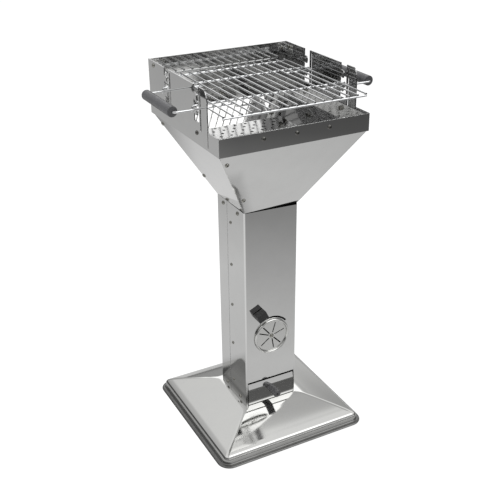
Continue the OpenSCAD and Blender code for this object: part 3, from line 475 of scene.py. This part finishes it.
def smooth_rows(rows, steps):
    """Each stretch between two rows is a cubic that leaves and arrives along its neighbours' chords.

    point = (2s^3 - 3s^2 + 1) a + (s^3 - 2s^2 + s) da + (3s^2 - 2s^3) b + (s^3 - s^2) db, s from 0 to 1.
    """
    chord = np.linalg.norm(np.diff(rows[:, :2], axis=0), axis=1)
    slope = np.diff(rows, axis=0) / chord[:, None]
    inner = slope[:-1] * chord[1:, None] + slope[1:] * chord[:-1, None]
    lead = np.concatenate([slope[:1], inner / (chord[:-1] + chord[1:])[:, None], slope[-1:]])
    s = np.linspace(0, 1, steps, endpoint=False)[None, :, None]
    a, b = rows[:-1, None], rows[1:, None]
    da, db = lead[:-1, None] * chord[:, None, None], lead[1:, None] * chord[:, None, None]
    curve = (2 * s**3 - 3 * s**2 + 1) * a + (s**3 - 2 * s**2 + s) * da
    curve = curve + (3 * s**2 - 2 * s**3) * b + (s**3 - s**2) * db
    return np.concatenate([curve.reshape(-1, rows.shape[1]), rows[-1:]])


outer_rows = smooth_rows(ring_sizes(np.concatenate([slope_shares[:, :3], edge_shares])), 8)
inner_shares = slope_shares[::-1]
inner_rows = smooth_rows(ring_sizes(inner_shares) - base_sheet * inner_shares[:, [3, 4, 3]], 4)
flat = np.array([[flat_margin, 0, 0]])
base_rows = np.concatenate([outer_rows[:1] - flat, outer_rows, inner_rows, inner_rows[-1:] - flat])
print("rings round the base:", len(base_rows))

# %% [markdown]
# From rings to a skin
#
# Each ring is a square with round corners, and all rings have the same number of points, so the
# whole skin is one grid: rings one way, points round the base the other way. That makes its faces
# a sum of index arrays, with no loop. A Spin or a bevelled box would make such a form too, but
# neither lets the corner radius change on the way down, as the real pressing does.


# %% Skin of the base
def rounded_square_skin(rows, corner_steps=14):
    """A quarter circle at each corner: point = sign * (half - radius) + radius * (cos a, sin a)."""
    angle = np.linspace(0, np.pi / 2, corner_steps + 1)
    turn = (np.arange(4)[:, None] * np.pi / 2 + angle).ravel()
    sign_x = np.repeat([1, -1, -1, 1], len(angle))
    sign_y = np.repeat([1, 1, -1, -1], len(angle))
    half, high, radius = rows[:, :1], rows[:, 1:2], rows[:, 2:]
    x = sign_x * (half - radius) + radius * np.cos(turn)
    y = sign_y * (half - radius) + radius * np.sin(turn)
    return np.stack([x, y, high + 0 * x], -1)


def new_object(name, points, faces, its_finishes):
    """A smooth mesh object at the origin, from an array of points and a list of faces."""
    mesh = bpy.data.meshes.new(name)
    mesh.from_pydata(points.reshape(-1, 3).tolist(), [], faces)
    mesh.polygons.foreach_set("use_smooth", [True] * len(faces))
    for finish in its_finishes:
        mesh.materials.append(finish)
    made = bpy.data.objects.new(name, mesh)
    bpy.context.scene.collection.objects.link(made)
    return made


rings = rounded_square_skin(base_rows)
ring_count, round_count = rings.shape[:2]
i = np.arange(ring_count - 1)[:, None] * round_count
j = np.arange(round_count)[None]
k = (j + 1) % round_count
bands = np.stack([i + j, i + round_count + j, i + round_count + k, i + k], -1).reshape(-1, 4)
top_face = j[0].tolist()
under_face = ((ring_count - 1) * round_count + j[0, ::-1]).tolist()
base_skin = new_object("base_skin", rings, bands.tolist() + [top_face, under_face],
                       [pan_sheet, shaded_edge_sheet, shaded_wall_sheet])
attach(base_skin, "stand")
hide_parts("base_pan")
print("faces of the base:", len(base_skin.data.polygons))

# %% [markdown]
# Three finishes down the side of the base
#
# The slopes are bright, the low upright wall under them is rougher from the press and painted a
# darker grey, and the rolled edge at the ground and the tight fold over the wall are the roughest and
# painted darkest: these darker tints are painted shade at the foot. Each band of faces takes its
# finish by its height. Three separate meshes would need seams, and a mirror shows a seam.

# %% Finishes down the base
PAN, EDGE, WALL = 0, 1, 2
edge_top, wall_top, fold_top = 9 * mm, 20 * mm, 23 * mm
ring_height = rings[..., 2].mean(axis=1)
band_height = (ring_height[:-1] + ring_height[1:]) / 2
band_finish = np.select([band_height < edge_top, band_height < wall_top, band_height < fold_top],
                        [EDGE, WALL, EDGE], PAN)
face_finish = np.concatenate([np.repeat(band_finish, round_count), [PAN, PAN]]).astype(int)
base_skin.data.polygons.foreach_set("material_index", face_finish)
print("bands of pan, edge and wall:", np.bincount(band_finish).tolist())

# %% [markdown]
# Weld beads where the wires cross
#
# The grid is resistance welded: each wire is pressed hot into the rod under it, and a little
# metal swells out of the joint. A drawing leaves the two round bars just touching. A union of the
# solids would close the joint with a sharp crease. A flattened bead at each crossing, worked out
# as one surface and moved to every place, closes it the way the real metal does.


# %% A bead and its copies
def bead_surface(half, sides=10, rings=6):
    """An ellipsoid: point = half * (cos u cos v, sin u cos v, sin v), u round it, v from pole to pole."""
    u = np.linspace(0, 2 * np.pi, sides, endpoint=False)
    v = np.linspace(-np.pi / 2, np.pi / 2, rings + 1)[1:-1]
    turn, rise = np.meshgrid(u, v)
    belt = np.stack([np.cos(turn) * np.cos(rise), np.sin(turn) * np.cos(rise), np.sin(rise)], -1)
    points = np.concatenate([belt.reshape(-1, 3), [[0, 0, -1], [0, 0, 1]]]) * half
    i = np.arange(sides)
    j = (i + 1) % sides
    rows = np.arange(rings - 2)[:, None] * sides
    quads = np.stack([rows + i, rows + j, rows + sides + j, rows + sides + i], -1).reshape(-1, 4)
    low_pole, high_pole, last = len(points) - 2, len(points) - 1, (rings - 2) * sides
    low_cap = np.stack([0 * i + low_pole, j, i], -1)
    high_cap = np.stack([0 * i + high_pole, last + i, last + j], -1)
    return points, quads, np.concatenate([low_cap, high_cap])


def weld_beads(name, places, half):
    """One mesh of the same bead at every place: point = place + bead point. It rides on the grid."""
    points, quads, caps = bead_surface(np.array(half))
    first = np.arange(len(places))[:, None, None] * len(points)
    all_points = np.array(places)[:, None] + points
    faces = (quads + first).reshape(-1, 4).tolist() + (caps + first).reshape(-1, 3).tolist()
    beads = new_object(name, all_points, faces, [chromed_wire])
    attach(beads, "grid")


wire_r, rod_r = 2.0 * mm, 2.5 * mm
bead_half = (2.6 * mm, 2.6 * mm, 1.2 * mm)
print("a bead is", round(2 * bead_half[2] / mm, 1), "mm thick")

# %% [markdown]
# Where the beads go
#
# The wires lie on two cross rods, one at the front and one at the rear, and on the arms of the two
# handle rods. Their places come from the boxes of those nodes, so the beads sit on the joints
# however the grid is sized. Listing them one by one would be long and soon be wrong.

# %% Welds of the grid
grid_low, grid_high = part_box("cooking_grid")
wire_count, cross_inset = 17, 2.5 * mm
wire_x = np.linspace(grid_low[0] + wire_r, grid_high[0] - wire_r, wire_count)
joint_z = grid_high[2] - 2 * wire_r
cross_y = [grid_low[1] + cross_inset, grid_high[1] - cross_inset]
cross_places = [(x, y, joint_z) for x in wire_x for y in cross_y]
weld_beads("grid_welds", cross_places, bead_half)
arm_places = []
for side in ("left", "right"):
    arm_low, arm_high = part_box("handle_rod_" + side)
    arm_y = [arm_low[1] + rod_r, arm_high[1] - rod_r]
    arm_places += [(x, y, joint_z) for x in wire_x if arm_low[0] < x < arm_high[0] for y in arm_y]
weld_beads("arm_welds", arm_places, bead_half)
print("weld beads:", len(cross_places), "on the cross rods and", len(arm_places), "on the arms")

# %% [markdown]
# Ramps of grey for the studio
#
# A polished box shows its studio more than itself, so the studio is painted with care: pale here,
# dark there. Many lamps could do it, but each would also light the object and the shadow. Ramps of
# grey that only reflections see leave the light alone, and a ramp is set in metres or directions.


# %% Ramp of greys
def tone_ramp(tree, value, stops):
    """A ramp of greys over the span of the stops: (place, grey) pairs, from the lowest place up."""
    low, high = stops[0][0], stops[-1][0]
    share = add(tree, "ShaderNodeMapRange", {"Value": value, "From Min": low, "From Max": high})
    ramp = add(tree, "ShaderNodeValToRGB", {"Fac": share})
    elements = ramp.color_ramp.elements
    for at, _ in stops[1:-1]:
        elements.new((at - low) / (high - low))
    for element, (_, grey) in zip(elements, stops):
        element.color = (grey, grey, grey, 1)
    return ramp


# Greys of the floor along two directions, by the way in metres from the middle of the object
FRONT_RIGHT = Vector((0.48, -0.88, 0.0))
RIGHT = Vector((0.89, 0.46, 0.0))
floor_tones = [(-3.6, 0.50), (-1.5, 0.62), (-0.9, 0.76), (-0.2, 0.72), (0.35, 0.76), (1.4, 0.37),
               (2.7, 0.12), (4.0, 0.06)]
side_tones = [(-0.5, 1.35), (-0.25, 1.0), (0.62, 1.0), (0.85, 0.4)]
print("floor runs from grey", floor_tones[0][1], "at the back to", floor_tones[-1][1], "at the front")

# %% [markdown]
# A pale floor that falls off into the dark
#
# In reflections the floor is pale under the object and to its back, and runs out into the unlit
# studio at the front right. That is what makes the front band dark and the column paler towards
# its foot. It is brighter at the left and darker at the right, as from a window, and a little
# darker right beside the object. To the camera it is white paper that keeps a trace of the shadow.
# A real sheet of paper under real lamps would need a render for each try. Telling the rays apart
# sets the three looks one by one.


# %% Paper of the floor
# The object keeps light off the paper right beside it
shade_from, shade_to, shade_least = edge_half + 2 * mm, edge_half + 43 * mm, 0.8
# To the camera, glow and lit paper together come to white where no shadow falls
camera_glow, camera_paper = 0.9, 0.25


def floor_paper():
    """White paper: a glow to the camera, painted greys to reflections, plain paper to all else."""
    paper, tree, out = new_material("white studio paper")
    place = add(tree, "ShaderNodeTexCoord").outputs["Object"]
    to_front = add(tree, "ShaderNodeVectorMath", {0: place, 1: FRONT_RIGHT}, operation="DOT_PRODUCT")
    to_right = add(tree, "ShaderNodeVectorMath", {0: place, 1: RIGHT}, operation="DOT_PRODUCT")
    tones = add(tree, "ShaderNodeVectorMath",
                {0: tone_ramp(tree, to_front.outputs["Value"], floor_tones),
                 1: tone_ramp(tree, to_right.outputs["Value"], side_tones)}, operation="MULTIPLY")
    beside = add(tree, "ShaderNodeMapRange",
                 {"Value": square_reach(tree, place), "From Min": shade_from, "From Max": shade_to,
                  "To Min": shade_least, "To Max": 1.0}, interpolation_type="SMOOTHSTEP")
    painted = add(tree, "ShaderNodeEmission", {"Color": tones, "Strength": beside})
    plain = add(tree, "ShaderNodeBsdfDiffuse", {"Color": colour("#E8E8E6")})
    glow = add(tree, "ShaderNodeEmission", {"Color": (1, 1, 1, 1), "Strength": camera_glow})
    faint = add(tree, "ShaderNodeBsdfDiffuse", {"Color": (camera_paper, camera_paper, camera_paper, 1)})
    white = add(tree, "ShaderNodeAddShader", {0: glow, 1: faint})
    ray = add(tree, "ShaderNodeLightPath").outputs
    lit = add(tree, "ShaderNodeMixShader", {"Fac": ray["Is Glossy Ray"], 1: plain, 2: painted})
    seen = add(tree, "ShaderNodeMixShader", {"Fac": ray["Is Camera Ray"], 1: lit, 2: white})
    tree.links.new(seen.outputs["Shader"], out.inputs["Surface"])
    return paper


print("shade beside the object is", round((shade_to - shade_from) / mm), "mm wide")

# %% Floor
floor_half, floor_drop = 7.0, 0.5 * mm
corners = np.array([[-floor_half, -floor_half, -floor_drop], [floor_half, -floor_half, -floor_drop],
                    [floor_half, floor_half, -floor_drop], [-floor_half, floor_half, -floor_drop]])
floor = new_object("floor", corners, [(0, 1, 2, 3)], [floor_paper()])
print("floor spans", 2 * floor_half, "m")

# %% [markdown]
# The studio around it
#
# The world is white to the camera. In reflections it is dark at eye level and pale overhead, with
# soft round patches: pale walls and lights that whiten the funnel, the slopes of the base and the
# grate, and two darker patches that keep the inside of the box from going flat. To everything that
# isn't a mirror it is an even soft light. A photographed room would bring things into the metal
# that nobody asked for. A gradient with a few patches is as easy to steer as a real studio.

# %% Greys of the studio
sky_tones = [(-1.0, 0.30), (0.0, 0.10), (0.2, 0.15), (0.4, 0.60), (0.6, 0.91), (1.0, 1.1)]
# Patches: middle, half angle in degrees, added grey
patches = [
    ((0.90, 0.35, 0.20), 34, 0.34),     # wall at the right
    ((0.50, -0.85, 0.05), 42, 0.10),    # wide glow low at the front right
    ((0.41, 0.91, 0.02), 26, 0.30),     # wall at the back right
    ((0.42, 0.78, 0.46), 20, 1.00),     # light over the back right
    ((0.375, -0.59, 0.71), 31.5, 1.50),  # large light over the front right
    ((0.44, 0.42, 0.79), 20, -0.42),    # dark patch overhead
    ((-0.45, 0.75, 0.50), 18, -0.25),   # dark patch over the back left
    ((-0.62, 0.80, 0.08), 18, 0.18),    # wall at the back left
]


def studio_tones(tree, direction):
    """Greys by direction: the ramp over height, plus each patch faded out towards its half angle."""
    height = add(tree, "ShaderNodeSeparateXYZ", {"Vector": direction}).outputs["Z"]
    tones = tone_ramp(tree, height, sky_tones)
    for middle, half_angle, grey in patches:
        near = add(tree, "ShaderNodeVectorMath", {0: direction, 1: Vector(middle).normalized()},
                   operation="DOT_PRODUCT").outputs["Value"]
        edge = math.cos(math.radians(half_angle))
        patch = add(tree, "ShaderNodeMapRange", {"Value": near, "From Min": edge, "From Max": (1 + edge) / 2,
                                                 "To Min": 0.0, "To Max": grey},
                    interpolation_type="SMOOTHSTEP")
        tones = add(tree, "ShaderNodeVectorMath", {0: tones, 1: patch}, operation="ADD")
    return tones


print("patches in the studio:", len(patches))

# %% World
soft_light = 0.55
world = bpy.data.worlds.new("studio")
bpy.context.scene.world = world
world.use_nodes = True
tree = world.node_tree
tree.nodes.clear()
out = tree.nodes.new("ShaderNodeOutputWorld")
direction = add(tree, "ShaderNodeTexCoord").outputs["Generated"]
soft = add(tree, "ShaderNodeBackground", {"Color": (1, 1, 1, 1), "Strength": soft_light})
mirrored = add(tree, "ShaderNodeBackground", {"Color": studio_tones(tree, direction)})
white = add(tree, "ShaderNodeBackground", {"Color": (1, 1, 1, 1), "Strength": 1.0})
ray = add(tree, "ShaderNodeLightPath").outputs
lit = add(tree, "ShaderNodeMixShader", {"Fac": ray["Is Glossy Ray"], 1: soft, 2: mirrored})
seen = add(tree, "ShaderNodeMixShader", {"Fac": ray["Is Camera Ray"], 1: lit, 2: white})
tree.links.new(seen.outputs["Shader"], out.inputs["Surface"])
print("world nodes:", len(tree.nodes))

# %% [markdown]
# Two softboxes
#
# The mouldings and the floor need light from a side, or the grips go flat and the object floats
# over the paper. Two large soft lamps give it without a hard shadow. A sun would draw every tooth
# and wire on the ground. The metal doesn't mirror them, because the world has its own lights for
# that, and a lamp's small bright image in many mirrors makes a grainy picture.

# %% Softboxes
aim_at = Vector((0, 0, 0.6))


def softbox(name, at, size, watts):
    """A square area lamp that faces the middle of the object."""
    lamp = bpy.data.lights.new(name, "AREA")
    lamp.shape = "SQUARE"
    lamp.size = size
    lamp.energy = watts
    made = bpy.data.objects.new(name, lamp)
    made.location = at
    made.rotation_euler = (aim_at - Vector(at)).to_track_quat("-Z", "Y").to_euler()
    made.visible_glossy = False
    bpy.context.scene.collection.objects.link(made)


softbox("softbox over the back left", (-1.6, 1.0, 2.8), 1.4, 40)
softbox("softbox at the front left", (-2.4, -1.8, 2.0), 1.2, 25)

# %% [markdown]
# The camera stands where the photographer stood
#
# The straight lines of the box and the column give the place: a little above the rim, to the left
# of the front, and rolled by about half a degree. A camera can be aimed with a Track To constraint,
# but that can't hold the roll, so the three axes of the camera are worked out from the angles.

# %% Camera
azimuth, elevation, roll = math.radians(27.47), math.radians(26.40), math.radians(-0.62)
# Focal length as a share of the picture's width, and the place in metres
focal_share = 1.6908
camera_at = Vector((-0.9063, -1.7042, 1.4353))
forward = Vector((math.sin(azimuth) * math.cos(elevation), math.cos(azimuth) * math.cos(elevation),
                  -math.sin(elevation)))
level_right = Vector((math.cos(azimuth), -math.sin(azimuth), 0))
level_up = level_right.cross(forward)
right = level_right * math.cos(roll) + level_up * math.sin(roll)
up = right.cross(forward)
lens = bpy.data.cameras.new("camera")
lens.sensor_width = 36
lens.lens = lens.sensor_width * focal_share
camera = bpy.data.objects.new("camera", lens)
camera.matrix_world = Matrix((right, up, -forward)).transposed().to_4x4()
camera.location = camera_at
bpy.context.scene.collection.objects.link(camera)
bpy.context.scene.camera = camera
bpy.context.scene.view_settings.view_transform = "Standard"
print("lens", round(lens.lens, 2), "mm")
